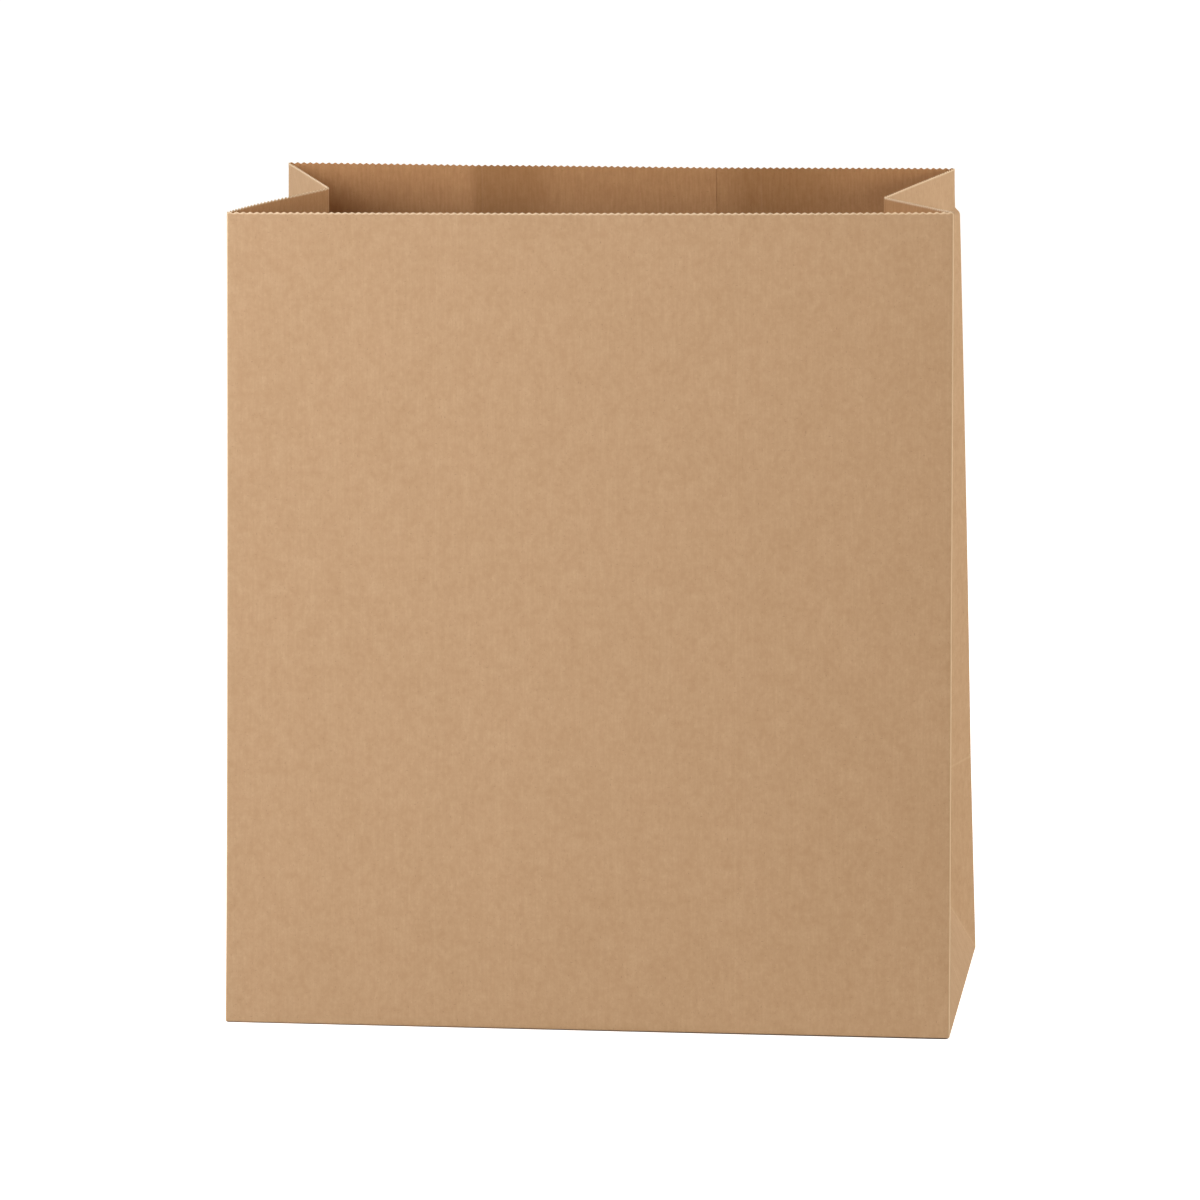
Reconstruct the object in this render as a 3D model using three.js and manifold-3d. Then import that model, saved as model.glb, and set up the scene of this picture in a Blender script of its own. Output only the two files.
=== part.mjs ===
// Brown kraft paper bag with tucked sides and a flat glued base, standing open and empty.
//
// It is one sheet of paper. The sheet is wrapped into a tube, lapped and glued down the back,
// and the foot of the tube is folded under and glued in layers to make the base. The mouth is
// cut with small pinked teeth. A bag that has just been opened stands as a folded sheet must:
// the base lies flat, the sides stay tucked in, and the front leans back a little.
//
// Millimetres, +Z up, front facing -Y. The origin is the middle of the bounding box's bottom.

import * as THREE from 'three';
import { mergeVertices } from 'three/addons/utils/BufferGeometryUtils.js';
import Module from 'manifold-3d';

// Driving dimensions.
const panelWidth = 305; // front and back, crease to crease
const sideWidth = 178; // each side, crease to crease, measured along the paper
const bagHeight = 350; // foot crease to tooth tips, along the paper
const paper = 0.14; // thickness of one layer
const frontLean = THREE.MathUtils.degToRad(4); // how far the front leans back from upright
const teethAcross = 106; // teeth along the front's mouth
const toothDepth = 0.8;
const seamTeeth = 7; // width of the glued back seam, counted in teeth
const seamFromLeft = 61; // teeth between the back's left crease and the seam
const baseOverlap = 20; // how far the two long base flaps lap over each other
const stepGap = 1; // between the back flap's free edge and the step in the front flap

// Sizes that follow from them.
const halfWidth = panelWidth / 2;
const gusset = sideWidth / 2; // half a side, from a corner crease to the side's middle crease
const gussetTeeth = Math.round((teethAcross * gusset) / panelWidth);
const toothPitch = panelWidth / teethAcross;
const flapLength = gusset + baseOverlap / 2; // how far the tube's foot is folded under
const upward = new THREE.Vector3(0, Math.sin(frontLean), Math.cos(frontLean));

// Paper doesn't stretch, so each side's tuck is fixed by the front's lean.
const tuck = Math.acos((1 - Math.sin(frontLean)) / Math.cos(frontLean));

const kraft = new THREE.MeshStandardMaterial({ color: '#c29e79', roughness: 0.92, metalness: 0 });

const wasm = await Module();
wasm.setup();

// A vertical line of the sheet: its foot on the base, its knee where the folds of the base end,
// and its top at the valleys of the teeth. outer and inner say how many layers each face stands
// off the middle of the paper, and teeth is the number of teeth between this line and the next.
function sheetLine(foot, knee, teeth, outer = 0.5, inner = -0.5) {
  const top = knee.clone().addScaledVector(upward, bagHeight - toothDepth - gusset);
  return { points: [foot, knee, top], teeth, outer, inner };
}

function frontLine(x, teeth) {
  const foot = new THREE.Vector3(x, -gusset, 0);
  return sheetLine(foot, foot.clone().addScaledVector(upward, gusset), teeth);
}

function backLine(x, teeth, outer, inner) {
  const foot = new THREE.Vector3(x, gusset, 0);
  const knee = foot.clone().add(new THREE.Vector3(0, -upward.y, upward.z).multiplyScalar(gusset));
  return sheetLine(foot, knee, teeth, outer, inner);
}

function sideLine(side, teeth) {
  const foot = new THREE.Vector3(side * halfWidth, 0, 0);
  const inward = new THREE.Vector3(-side * Math.sin(tuck), 0, Math.cos(tuck));
  return sheetLine(foot, foot.clone().addScaledVector(inward, gusset), teeth);
}

// The lines of the tube in order, anticlockwise from above. The seam's two free edges are each a
// pair of lines at one place, where a face steps by one layer.
function tubeLines() {
  const outerEdge = -halfWidth + seamFromLeft * toothPitch;
  const innerEdge = outerEdge + seamTeeth * toothPitch;
  return [
    frontLine(-halfWidth, teethAcross),
    frontLine(halfWidth, gussetTeeth),
    sideLine(1, gussetTeeth),
    backLine(halfWidth, teethAcross - seamFromLeft - seamTeeth),
    backLine(innerEdge, 0, 1.5, 0.5),
    backLine(innerEdge, seamTeeth, 1.5, -0.5),
    backLine(outerEdge, 0, 1.5, -0.5),
    backLine(outerEdge, seamFromLeft, 0.5, -0.5),
    backLine(-halfWidth, gussetTeeth),
    sideLine(-1, gussetTeeth),
  ];
}

// The two triangles between lines a and b from one row of points to the next. Where a side's
// foot is folded, the fold runs from the corner crease's foot up to the side's middle crease.
function foldedPair(a, b, row) {
  const [a0, a1, b0, b1] = [a[row], a[row + 1], b[row], b[row + 1]];
  const risesToB = Math.abs(b1.x) < Math.abs(a1.x);
  return risesToB ? [[a0, b0, b1], [a0, b1, a1]] : [[a0, b0, a1], [b0, b1, a1]];
}

// For each point of the lines, the step that moves every facet meeting there out by 1 mm.
function mitreSteps(lines) {
  const key = (point) => point.toArray().map((value) => value.toFixed(3)).join();
  const normalsAt = new Map();
  lines.forEach((line, i) => {
    const next = lines[(i + 1) % lines.length];
    const triangles = [0, 1].flatMap((row) => foldedPair(line.points, next.points, row));
    for (const triangle of triangles.map((corners) => new THREE.Triangle(...corners))) {
      if (triangle.getArea() < 1) continue;
      const normal = triangle.getNormal(new THREE.Vector3());
      for (const corner of [triangle.a, triangle.b, triangle.c]) {
        const found = normalsAt.get(key(corner)) ?? [];
        if (!found.some((other) => other.dot(normal) > 0.99999)) found.push(normal);
        normalsAt.set(key(corner), found);
      }
    }
  });
  return (point) => leastStep(normalsAt.get(key(point)));
}

// The shortest step s with normal . s = 1 for each normal, by least squares.
function leastStep(normals) {
  const steady = 1e-7;
  const sums = [steady, 0, 0, 0, steady, 0, 0, 0, steady];
  const target = new THREE.Vector3();
  for (const normal of normals) {
    const parts = normal.toArray();
    parts.forEach((p, i) => parts.forEach((q, j) => (sums[3 * i + j] += p * q)));
    target.add(normal);
  }
  return target.applyMatrix3(new THREE.Matrix3().set(...sums).invert());
}

// One face of the tube as triangles, and its mouth as a closed run of points.
function tubeFace(lines, stepAt, side) {
  const triangles = [];
  const mouth = [];
  const moved = lines.map((line) =>
    line.points.map((point) => point.clone().addScaledVector(stepAt(point), paper * line[side])),
  );
  lines.forEach((line, i) => {
    const [a, b] = [moved[i], moved[(i + 1) % lines.length]];
    triangles.push(...foldedPair(a, b, 0));
    const spans = Math.max(line.teeth, 1);
    const valley = (k) => a[2].clone().lerp(b[2], k / spans);
    triangles.push([a[1], b[1], valley(spans)]);
    for (let k = 0; k < spans; k++) {
      triangles.push([a[1], valley(k + 1), valley(k)]);
      mouth.push(valley(k));
      if (line.teeth === 0) continue;
      const tip = valley(k + 0.5).addScaledVector(upward, toothDepth);
      triangles.push([valley(k), valley(k + 1), tip]);
      mouth.push(tip);
    }
  });
  return { triangles, mouth, foot: moved.map((line) => line[0]) };
}

// A band of triangles that joins the edge of the outer face to the edge of the inner one.
function edgeBand(outer, inner) {
  return outer.flatMap((p, i) => {
    const j = (i + 1) % outer.length;
    return [[p, outer[j], inner[j]], [p, inner[j], inner[i]]];
  });
}

function solidFromTriangles(triangles) {
  const geometry = new THREE.BufferGeometry().setFromPoints(triangles.flat());
  return solidFromGeometry(geometry);
}

function solidFromGeometry(geometry) {
  geometry.deleteAttribute('normal');
  geometry.deleteAttribute('uv');
  const merged = mergeVertices(geometry, 1e-5);
  const index = Array.from(merged.index.array);
  const kept = [];
  for (let i = 0; i < index.length; i += 3) {
    const [a, b, c] = index.slice(i, i + 3);
    if (a !== b && b !== c && c !== a) kept.push(a, b, c);
  }
  return new wasm.Manifold(
    new wasm.Mesh({
      numProp: 3,
      vertProperties: new Float32Array(merged.attributes.position.array),
      triVerts: new Uint32Array(kept),
    }),
  );
}

function makeTube() {
  const lines = tubeLines();
  const stepAt = mitreSteps(lines);
  const outer = tubeFace(lines, stepAt, 'outer');
  const inner = tubeFace(lines, stepAt, 'inner');
  return solidFromTriangles([
    ...outer.triangles,
    ...inner.triangles.map((corners) => corners.toReversed()),
    ...edgeBand(outer.mouth, inner.mouth),
    ...edgeBand(outer.foot, inner.foot).map((corners) => corners.toReversed()),
  ]);
}

// A flat piece of the base: an outline and the layers that it spans, counted up from the middle
// of the lowest layer. Glued layers share half a layer, so that they join.
function baseLayer(outline, fromLayer, toLayer) {
  const shape = new THREE.Shape(outline.map(([x, y]) => new THREE.Vector2(x, y)));
  const depth = (toLayer - fromLayer) * paper;
  const geometry = new THREE.ExtrudeGeometry(shape, { depth, bevelEnabled: false });
  return solidFromGeometry(geometry.translate(0, 0, fromLayer * paper));
}

// The base, folded like the end of a parcel: the sides' ends lie inside, then the corners' folded
// triangles, then the long flaps of the front and the back, which lap in the middle. The front's
// flap steps up by a layer just before it passes inside the back's.
function makeBase() {
  const lap = baseOverlap / 2;
  const footEdge = -gusset - paper / 2;
  const layers = [];
  const halfAt = (y) => halfWidth - gusset - y;
  const trapezium = (y0, y1) => [
    [-halfAt(y0), y0],
    [halfAt(y0), y0],
    [halfAt(y1), y1],
    [-halfAt(y1), y1],
  ];
  const turned = (outline) => outline.map(([x, y]) => [-x, -y]);
  layers.push(baseLayer(turned(trapezium(footEdge, lap)), -0.5, 0.5));
  layers.push(baseLayer(trapezium(footEdge, -lap - stepGap), -0.5, 0.5));
  layers.push(baseLayer(trapezium(-lap - 3 * stepGap, lap), 0, 1.5));
  for (const [sx, sy] of [[1, 1], [-1, 1], [-1, -1], [1, -1]]) {
    const corner = [sx * halfWidth, sy * gusset];
    const tip = [sx * (halfWidth - flapLength), sy * (gusset - flapLength)];
    const foot = [sx * (halfWidth - flapLength), sy * gusset];
    layers.push(baseLayer([corner, tip, foot], 0, 1.5));
  }
  for (const side of [1, -1]) {
    const [near, far] = [side * (halfWidth - paper), side * (halfWidth - flapLength)];
    layers.push(baseLayer([[near, -gusset], [near, gusset], [far, gusset], [far, -gusset]], 1, 2.5));
  }
  return layers.reduce((base, layer) => base.add(layer));
}

function geometryFromSolid(solid) {
  const mesh = solid.getMesh();
  const geometry = new THREE.BufferGeometry();
  geometry.setAttribute('position', new THREE.BufferAttribute(mesh.vertProperties, 3));
  geometry.setIndex(new THREE.BufferAttribute(mesh.triVerts, 1));
  geometry.computeVertexNormals();
  return geometry;
}

const bag = new THREE.Mesh(geometryFromSolid(makeTube().add(makeBase())), kraft);
bag.name = 'paper_bag';

const bounds = new THREE.Box3().setFromObject(bag);
const middle = bounds.getCenter(new THREE.Vector3());
bag.position.set(-middle.x, -middle.y, -bounds.min.z);

const group = new THREE.Group();
group.add(bag);

export default group;
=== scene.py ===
"""A large brown kraft paper bag that stands open and empty, folded from one sheet of paper.

The sheet is a strip as long as the way round the bag plus the glued lap at the back, and as high
as the walls plus the flaps of the base. A fold map says where each point of the flat sheet lies
in the folded bag. The mesh is a grid on the flat sheet, moved through that map, so its folds,
the lap and the layers of the base are where one real sheet has them. Lengths on the sheet are in
millimetres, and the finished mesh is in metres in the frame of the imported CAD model.
"""

import logging
import math
from dataclasses import dataclass, field
from enum import Enum

import bpy
import numpy as np
from bpy.types import Material, Node, NodeOutputs, NodeSocket, NodeTree, Object
from mathutils import Matrix, Vector


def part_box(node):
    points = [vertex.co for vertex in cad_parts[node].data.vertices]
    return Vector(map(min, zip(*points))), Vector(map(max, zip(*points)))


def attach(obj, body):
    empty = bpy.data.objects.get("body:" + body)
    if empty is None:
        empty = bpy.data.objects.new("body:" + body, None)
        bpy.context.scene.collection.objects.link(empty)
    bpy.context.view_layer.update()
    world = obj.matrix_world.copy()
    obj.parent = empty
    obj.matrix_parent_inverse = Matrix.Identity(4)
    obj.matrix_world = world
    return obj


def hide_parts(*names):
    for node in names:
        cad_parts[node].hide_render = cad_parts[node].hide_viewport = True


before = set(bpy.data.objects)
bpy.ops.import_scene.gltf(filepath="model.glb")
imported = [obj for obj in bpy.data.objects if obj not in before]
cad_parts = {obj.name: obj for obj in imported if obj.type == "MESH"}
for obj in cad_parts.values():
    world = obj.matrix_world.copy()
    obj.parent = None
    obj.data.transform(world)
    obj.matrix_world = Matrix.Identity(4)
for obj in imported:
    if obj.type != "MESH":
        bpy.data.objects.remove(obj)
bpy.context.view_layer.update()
CAD_NODE = "paper_bag"
MM = 0.001
CLOSE = 0.001  # places on the sheet this near each other, in mm, are one
LOG = logging.getLogger("paper_bag")

Pair = tuple[float, float]
Triple = tuple[float, float, float]
Colour = tuple[float, float, float, float]
Array = np.ndarray

MATH = "ShaderNodeMath"
VECTOR_MATH = "ShaderNodeVectorMath"
MAP_RANGE = "ShaderNodeMapRange"
NAMED_ATTRIBUTE = "GeometryNodeInputNamedAttribute"
ATTRIBUTE = "ShaderNodeAttribute"
MAPPING = "ShaderNodeMapping"
NOISE = "ShaderNodeTexNoise"
MIX = "ShaderNodeMix"
MULTIPLY = {"operation": "MULTIPLY"}
SUBTRACT = {"operation": "SUBTRACT"}
SCALE = {"operation": "SCALE"}
SMOOTH_STEP = {"interpolation_type": "SMOOTHSTEP"}
WITH_SEED = {"noise_dimensions": "4D"}
NUMBERS = {"data_type": "FLOAT"}
COLOURS = {"data_type": "RGBA"}
TINTS = {"data_type": "RGBA", "blend_type": "MULTIPLY"}


class SheetLine(Enum):
    """The kinds of line on the sheet, each with the attribute that says how far it is, in mm."""

    CORNER = "corner_mm"
    FOOT = "foot_mm"
    VALLEY = "valley_mm"
    SLANT = "slant_mm"
    PRESSED = "pressed_mm"
    CUT = "cut_mm"


def linear(hex_colour: str) -> Colour:
    """Turns an sRGB hex colour into linear RGBA.

    Args:
        hex_colour: A colour such as "#c29e79".

    Returns:
        The four linear numbers that a colour socket takes.
    """
    parts = [int(hex_colour[i : i + 2], 16) / 255 for i in (1, 3, 5)]
    red, green, blue = (c / 12.92 if c <= 0.04045 else ((c + 0.055) / 1.055) ** 2.4 for c in parts)
    return red, green, blue, 1.0


def smooth_ramp(value: Array, start: float, end: float) -> Array:
    """Rises smoothly from 0, where the value is start, to 1, where it is end."""
    part = np.clip((value - start) / (end - start), 0, 1)
    return part * part * (3 - 2 * part)


def add_node(
    tree: NodeTree, kind: str, settings: dict[str, str] | None = None, **inputs: object
) -> Node:
    """Adds one node to a tree, with its settings and its links.

    Args:
        tree: The node tree.
        kind: The node's type name.
        settings: Attributes of the node itself, such as its operation.
        **inputs: Sockets by name, with underscores for spaces, or by number, such as i0. Each
            takes a plain value, or a socket to link, or a node to link by its first output.

    Returns:
        The new node.
    """
    node = tree.nodes.new(kind)
    for key, value in (settings or {}).items():
        setattr(node, key, value)
    for key, value in inputs.items():
        numbered = key[0] == "i" and key[1:].isdigit()
        socket = node.inputs[int(key[1:]) if numbered else key.replace("_", " ")]
        source = value.outputs[0] if isinstance(value, Node) else value
        if isinstance(source, NodeSocket):
            tree.links.new(source, socket)
        else:
            socket.default_value = source
    return node


@dataclass(frozen=True)
class BagSizes:
    """Sizes of the sheet and its folds, in millimetres and radians."""

    panel: float = 305.0
    half_side: float = 89.0
    height: float = 350.0
    paper: float = 0.14
    lean: float = math.radians(4)
    panel_teeth: int = 106
    half_side_teeth: int = 31
    tooth_depth: float = 0.68
    seam_from_left: int = 61
    seam_teeth: int = 7
    base_overlap: float = 20.0
    layer_step: float = 0.17  # from one glued layer's middle to the next one's

    @property
    def half_panel(self) -> float:
        """From the middle of a panel to its crease."""
        return self.panel / 2

    @property
    def girth(self) -> float:
        """The way round the bag."""
        return 2 * self.panel + 4 * self.half_side

    @property
    def flap(self) -> float:
        """How far the foot of the sheet is folded under."""
        return self.half_side + self.base_overlap / 2

    @property
    def pitch(self) -> float:
        """From one tooth of the mouth to the next."""
        return self.panel / self.panel_teeth

    @property
    def valley(self) -> float:
        """Height of the valleys between the teeth, along the paper."""
        return self.height - self.tooth_depth

    @property
    def back_start(self) -> float:
        """Where the back begins, going round from the left end of the front."""
        return self.panel + 2 * self.half_side

    @property
    def seam(self) -> Pair:
        """The lap's outer free edge and its inner one, as x on the back."""
        outer = -self.half_panel + self.seam_from_left * self.pitch
        return outer, outer + self.seam_teeth * self.pitch

    @property
    def ends(self) -> Pair:
        """Where the strip starts and ends, going round from the left end of the front.

        Returns:
            Its start, which is below 0, and its end.
        """
        outer, inner = self.seam
        start = self.back_start + self.half_panel - inner - self.girth
        return start, self.back_start + self.half_panel - outer


@dataclass(frozen=True)
class FoldMap:
    """Where each point of the flat sheet lies in the folded bag.

    A point of the sheet is (strip, up). strip runs anticlockwise from the front's left crease,
    and a little more than once round, because the sheet laps over itself at the back. up runs
    from the foot crease. Below that crease it is negative, and the sheet lies in the base.
    """

    sizes: BagSizes = field(default_factory=BagSizes)
    fold_radius: float = 0.8
    disc_steps: int = 7  # points across the small disc that rounds the folds
    disc_edge: float = 1.05  # where the disc's weight ends, as a share of the fold radius
    seam_ramp: Pair = (60.0, 5.0)  # before the lap, where the sheet lifts over it
    lap_end: Pair = (26.0, 20.0)  # from the strip's start, where the lap's layer comes down
    flap_step: Pair = (12.0, 9.0)  # short of mid-base, where the front flap steps up

    def side_facets(self, hand: Array, y: Array, up: Array) -> Array:
        """Places points of a side, which tucks inwards above two slanting folds.

        Args:
            hand: 1 on the right side and -1 on the left.
            y: Where the point would be if the side were flat, from front to back.
            up: The height along the paper.

        Returns:
            The points, one row each.
        """
        size = self.sizes
        half, wide = size.half_side, size.half_panel
        sin, cos = math.sin(size.lean), math.cos(size.lean)
        tuck = math.acos((1 - sin) / cos)
        upward, forward = np.array([0, sin, cos]), np.array([0, -sin, cos])
        knot = np.array([wide - half * math.sin(tuck), 0, half * math.cos(tuck)])
        front_foot, back_foot = np.array([wide, -half, 0]), np.array([wide, half, 0])
        knee = back_foot + half * forward
        inset, height = (half - np.abs(y))[:, None], up[:, None]
        foot = np.stack([np.full_like(y, wide), y, np.zeros_like(y)], 1)
        low = foot + height * np.array([-math.sin(tuck), 0, math.cos(tuck)])
        front = front_foot + height * upward + inset * ((knot - front_foot) / half - upward)
        back_low = back_foot + height * forward + inset * ((knot - back_foot) / half - forward)
        back_high = knee + (height - half) * upward + inset * (knot - knee) / half
        back = np.where(height < half, back_low, back_high)
        placed = np.where(height < inset, low, np.where(y[:, None] < 0, front, back))
        placed[:, 0] *= hand
        return placed

    def walls(self, strip: Array, up: Array) -> Array:
        """Places points of the four walls.

        Args:
            strip: The way along the strip.
            up: The height along the paper, 0 or more.

        Returns:
            The points, one row each.
        """
        size = self.sizes
        half, sin, cos = size.half_side, math.sin(size.lean), math.cos(size.lean)
        x, y, hand = self.flat_place(strip)
        front = np.stack([x, -half + up * sin, up * cos], 1)
        knee = np.minimum(up, half)
        back = np.stack([x, half + (up - 2 * knee) * sin, up * cos], 1)
        side = self.side_facets(np.where(hand == 0, 1, hand), y, up)
        is_side = (hand != 0)[:, None]
        return np.where(is_side, side, np.where((y < 0)[:, None], front, back))

    def flat_place(self, strip: Array) -> tuple[Array, Array, Array]:
        """Finds the wall's x and y at the foot crease.

        Args:
            strip: The way along the strip.

        Returns:
            x, y, and the hand of a side: 1 for the right, -1 for the left and 0 for a panel.
        """
        size = self.sizes
        around = np.mod(strip, size.girth)
        half, wide, back = size.half_side, size.half_panel, size.back_start
        left = back + size.panel
        walls = [around < size.panel, around < back, around < left]
        x = np.select(walls, [around - wide, wide, wide - around + back], -wide)
        y = np.select(walls, [-half, around - size.panel - half, half], left + half - around)
        hand = np.select(walls, [0.0, 1.0, 0.0], -1.0)
        return x * np.ones_like(around), y * np.ones_like(around), hand

    def base(self, strip: Array, under: Array) -> Array:
        """Places points of the base, where the sheet is folded like the end of a parcel.

        Args:
            strip: The way along the strip, which tells the lap's two layers apart.
            under: How far the point is past the foot crease.

        Returns:
            The points, one row each.
        """
        size = self.sizes
        half, wide, start = size.half_side, size.half_panel, -size.ends[0]
        x, y, hand = self.flat_place(strip)
        reach = wide - under
        is_front = (y < 0) & (hand == 0)
        long_flap = (hand == 0) & (np.abs(x) <= reach)
        from_crease = np.where(long_flap, under, wide - np.abs(x))
        towards = np.where(y < 0, 1.0, -1.0)
        placed_x = np.where(long_flap, x, np.sign(x) * reach)
        placed_y = np.where(hand == 0, np.sign(y) * half + towards * from_crease, y)
        stepping = [half - short for short in self.flap_step]
        lapped = smooth_ramp(under, *stepping)
        lap_layer = smooth_ramp(-strip, *(start - past for past in self.lap_end))
        layer = np.where(long_flap, np.where(is_front, 2 * lapped, lap_layer), 2.0)
        layer += np.where(~long_flap & is_front, smooth_ramp(from_crease, *stepping), 0)
        layer = np.where(hand == 0, layer, 4.0)
        return np.stack([placed_x, placed_y, layer * size.layer_step], 1)

    def place(self, strip: Array, up: Array) -> Array:
        """Places points of the sheet in the bag, with knife-sharp folds.

        Args:
            strip: The way along the strip.
            up: The height along the paper.

        Returns:
            The points, one row each.
        """
        size = self.sizes
        walls = self.walls(strip, np.maximum(up, 0))
        lap_start = size.ends[1] - size.seam_teeth * size.pitch
        over_lap = smooth_ramp(strip, *(lap_start - before for before in self.seam_ramp))
        walls[:, 1] += size.layer_step * over_lap
        base = self.base(strip, np.maximum(-up, 0))
        return np.where((up < 0)[:, None], base, walls)

    def soften(self, strip: Array, up: Array) -> Array:
        """Places points of the sheet in the bag, with each fold rounded as paper folds.

        Args:
            strip: The way along the strip.
            up: The height along the paper.

        Returns:
            The points, each the mean of the sharp map over a small disc of the sheet.
        """
        total, weights = np.zeros((len(strip), 3)), 0.0
        steps = np.linspace(-1, 1, self.disc_steps)
        for across in steps:
            for along in steps:
                weight = max(0.0, self.disc_edge - math.hypot(across, along))
                if weight > 0:
                    shift = self.fold_radius * across, self.fold_radius * along
                    total += weight * self.place(strip + shift[0], up + shift[1])
                    weights += weight
        return total / weights


@dataclass(frozen=True)
class PaperSet:
    """How the open bag stands away from the ideal fold, as paper does after handling.

    Lengths are in millimetres. The moves are (right, back, up) at the mouth and (right, back) at
    the foot, and each fades to nothing at the other end of the walls.
    """

    folds: FoldMap = field(default_factory=FoldMap)
    twist: float = math.radians(1.87)
    shift: Pair = (-3.5, 1.1)
    mouth_moves: tuple[Triple, ...] = (
        (-0.7, -0.4, -3.7),  # front left
        (0.8, -0.2, -2.1),  # front right
        (0.1, 0.1, 1.4),  # the right side's middle
        (-2.2, -0.2, 0.3),  # back right
        (3.0, 0.6, 1.5),  # back left
        (-0.1, 0.3, 4.3),  # the left side's middle
    )
    front_foot_moves: tuple[Pair, Pair] = ((-3.15, 1.0), (1.9, 2.1))  # left and right
    back_foot_moves: tuple[Pair, Pair] = ((-2.0, 0.3), (2.0, -0.4))
    front_bow: Pair = (3.4, 3.8)  # all the way up, and more at half height
    bow_above: float = 80.0  # how high up the front's bow is full
    crown_skew: float = 1.3  # past 1, the bow's crown lies right of the middle
    seam_lean: float = 5.5  # how far the seam leans in at the mouth
    seam_spread: tuple[float, ...] = (-12.0, -6.0, 0.0, 6.0, 12.0)  # shifts that smooth the lean
    # Soft ridges on the inside of the back, each with its place, reach and depth.
    back_ridges: tuple[Triple, ...] = ((-68.0, 22.0, 2.6), (43.0, 20.0, 1.4))
    side_bow: float = 2.0  # outwards, at the mouth of the left side's front half
    left_crease_bow: float = 0.35
    right_crease_bow: float = 0.5
    crease_roll: Pair = (0.6, 10.0)  # depth and reach
    roll_above: float = 40.0  # how high up the creases' roll is full
    crease_reach: float = 60.0  # how far round from its crease a move of a corner fades out
    corner_pinch: Pair = (2.2, 1.85)  # at its start and at the mouth
    pinch_from: float = 329.8
    pinch_to: float = 333.3

    def foot_offsets(self, x: Array, y: Array) -> Array:
        """Says how far points of the base are moved, evenly between its corners.

        Args:
            x: The points' places from left to right.
            y: Their places from front to back.

        Returns:
            The moves, one row each.
        """
        right = (x / self.folds.sizes.half_panel + 1)[:, None] / 2
        behind = (y / self.folds.sizes.half_side + 1)[:, None] / 2
        ends = (np.array(self.front_foot_moves), np.array(self.back_foot_moves))
        front, back = (moves[0] * (1 - right) + moves[1] * right for moves in ends)
        moves = front * (1 - behind) + back * behind
        return np.hstack([moves, np.zeros((len(x), 1))])

    def panel_shape(self, x: Array, y: Array, up: Array) -> Array:
        """Says how the front and the back stand away from flat.

        The front bows out a little. At the mouth the back leans in at its seam, which is stiff,
        and has soft ridges at the seam's inner edge and near the line where a tucked side was
        pressed against it. Both panels roll back a little at their corner creases.

        Args:
            x: The points' places from left to right.
            y: Their places from front to back.
            up: The height along the paper.

        Returns:
            How far each point is moved towards the back.
        """
        size = self.folds.sizes
        marks = [-size.half_panel, *size.seam, size.half_panel]
        share = np.clip(up / size.height, 0, 1)
        lean = np.mean([np.interp(x + move, marks, [0, 1, 1, 0]) for move in self.seam_spread], 0)
        ridge = sum(deep * np.exp(-np.abs(x - at) / reach) for at, reach, deep in self.back_ridges)
        on_panel = np.abs(y) > size.half_side - CLOSE
        from_crease = np.where(on_panel, size.half_panel - np.abs(x), size.half_side - np.abs(y))
        depth, reach = self.crease_roll
        roll = depth * np.exp(-from_crease / reach) * smooth_ramp(up, 0, self.roll_above)
        along = np.clip(0.5 + x / size.half_panel / 2, 0, 1)
        arch = np.sin(along**self.crown_skew * math.pi)
        always, halfway = self.front_bow
        bulge = always * smooth_ramp(up, 0, self.bow_above)
        bulge += halfway * np.sin(np.sqrt(share) * math.pi)
        bow = np.where(on_panel, arch * bulge, 0)
        back = np.where(on_panel, -(ridge + self.seam_lean * lean) * share**2, 0)
        return np.where(y > 0, back - roll, roll - bow)

    def offsets(self, strip: Array, up: Array) -> Array:
        """Says how far each point of the sheet is moved.

        Args:
            strip: The way along the strip.
            up: The height along the paper.

        Returns:
            The moves, one row each.
        """
        size = self.folds.sizes
        half, panel = size.half_side, size.panel
        back, left = size.back_start, size.back_start + panel
        marks = np.array([0, panel, panel + half, back, left, left + half])
        tops = self.folds.place(marks.astype(float), np.full(len(marks), size.height))
        middle = tops[[0, 1, 3, 4]].mean(0)
        turn = np.array(Matrix.Rotation(self.twist, 3, "Z"))
        moves = (tops - middle) @ turn.T + middle - tops + np.array(self.mouth_moves)
        moves[:, :2] += self.shift
        marks, moves = np.append(marks, size.girth), np.vstack([moves, moves[:1]])
        around = np.mod(strip, size.girth)
        at_mouth = np.stack([np.interp(around, marks, moves[:, k]) for k in range(3)], 1)
        share = np.clip(up / size.height, 0, 1)
        x, y, _ = self.folds.flat_place(strip)
        flat = self.folds.base(strip, np.maximum(-up, 0))
        x, y = (np.where(up < 0, flat[:, k], walls) for k, walls in enumerate((x, y)))
        moved = at_mouth * share[:, None] + self.foot_offsets(x, y) * (1 - share)[:, None]
        moved[:, 1] += self.panel_shape(x, y, up)
        reach = self.crease_reach
        by_back_right = np.interp(around, [back - half, back, back + reach], [0, 1, 0])
        by_front_left = np.interp(around, [0, reach, size.girth - half, size.girth], [1, 0, 0, 1])
        bow = self.left_crease_bow * by_front_left + self.right_crease_bow * by_back_right
        pinch = np.interp(up, [self.pinch_to, size.height], self.corner_pinch)
        pinch = pinch * by_back_right * smooth_ramp(up, self.pinch_from, self.pinch_to)
        moved[:, 0] += bow * np.sin(share * math.pi) - pinch
        moved[:, :2] += self.side_moves(around, share)
        return moved

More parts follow.
